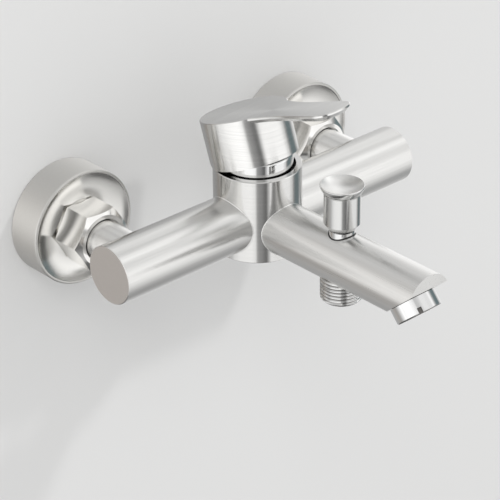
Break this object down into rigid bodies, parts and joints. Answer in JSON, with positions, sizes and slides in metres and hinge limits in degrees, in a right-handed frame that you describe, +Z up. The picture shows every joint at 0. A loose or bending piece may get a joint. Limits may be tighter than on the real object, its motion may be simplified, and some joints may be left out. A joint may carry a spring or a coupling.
{
  "type": "wall mounted bath faucet",
  "caption": "Wall mounted bath mixer: crossbar on two round cover plates, barrel with tilting lever, straight spout with pull-up diverter knob and shower hose outlet.",
  "frame": {"origin": "on the wall's finished face, midway between the two inlets, at the height of the crossbar's axis", "axes": "+Z up, +Y into the wall, +X to the right for someone facing the wall; the spout points along -Y"},
  "size_m": [0.21, 0.2044, 0.1026],
  "materials": {
    "satin_steel": "satin, fine turned grain round the barrel",
    "brushed_tube": "satin, fine brush lines along the tube",
    "end_disc": "matt, ground flat",
    "handle_steel": "satin, smooth",
    "polished_chrome": "mirror polished",
    "nut_chrome": "satin polished",
    "escutcheon_steel": "satin side, polished lip and dish",
    "plain_brass": "machined",
    "plated_brass": "dull nickel plate on brass",
    "bright_steel": "bright drawn",
    "white_plastic": "moulded",
    "grey_plastic": "moulded",
    "ceramic": "lapped ceramic",
    "black_rubber": "moulded"
  },
  "bodies": {
    "faucet_body": {"aerator_housing": "polished_chrome", "aerator_insert": "grey_plastic", "aerator_washer": "black_rubber", "barrel": "satin_steel", "base_seals": "black_rubber", "bonnet": "polished_chrome", "cartridge_base": "white_plastic", "cartridge_housing": "white_plastic", "diverter_block": "plain_brass", "diverter_gland": "polished_chrome", "diverter_gland_seal": "black_rubber", "diverter_rod_seal": "black_rubber", "diverter_spring": "bright_steel", "fixed_disc": "ceramic", "left_arm": "brushed_tube", "left_check_valve": "white_plastic", "left_eccentric_union": "plated_brass", "left_end_cap": "end_disc", "left_escutcheon": "escutcheon_steel", "left_inlet_tail": "satin_steel", "left_inlet_washer": "black_rubber", "left_union_nut": "nut_chrome", "outlet_check_valve": "white_plastic", "retaining_nut": "plain_brass", "right_arm": "brushed_tube", "right_check_valve": "white_plastic", "right_eccentric_union": "plated_brass", "right_end_cap": "end_disc", "right_escutcheon": "escutcheon_steel", "right_inlet_tail": "satin_steel", "right_inlet_washer": "black_rubber", "right_union_nut": "nut_chrome", "shower_outlet": "polished_chrome", "spout": "brushed_tube"},
    "cartridge_rotor": {"rotor": "grey_plastic", "pivot_pin": "bright_steel"},
    "disc_slide": {"moving_disc": "ceramic", "disc_carrier": "grey_plastic"},
    "lever": {"handle": "handle_steel", "lever_stem": "bright_steel", "handle_set_screw": "bright_steel", "handle_plug": "grey_plastic"},
    "diverter": {"diverter_knob": "polished_chrome", "diverter_rod": "bright_steel", "diverter_plunger": "plain_brass", "plunger_seals": "black_rubber"}
  },
  "joints": [
    {"name": "temperature_turn", "type": "hinge", "parent": "faucet_body", "child": "cartridge_rotor", "pos_m": [0, -0.0635, 0.0252], "axis": [0, 0, 1], "range_deg": [-54.5, 45.5]},
    {"name": "flow_lift", "type": "hinge", "parent": "cartridge_rotor", "child": "lever", "pos_m": [0, -0.0635, 0.0252], "axis": [0.9969, 0.0785, 0], "range_deg": [0, 18]},
    {"name": "disc_travel", "type": "slide", "parent": "cartridge_rotor", "child": "disc_slide", "axis": [-0.0785, 0.9969, 0], "range_m": [0, 0.0058]},
    {"name": "diverter_lift", "type": "slide", "parent": "faucet_body", "child": "diverter", "axis": [0, 0, 1], "range_m": [0, 0.008], "stiffness_N_per_m": 60, "springref_m": -0.004, "deforming": ["diverter_spring"]}
  ],
  "couplings": [
    {"joint": "disc_travel", "follows": "flow_lift", "m_per_rad": 0.01804}
  ]
}
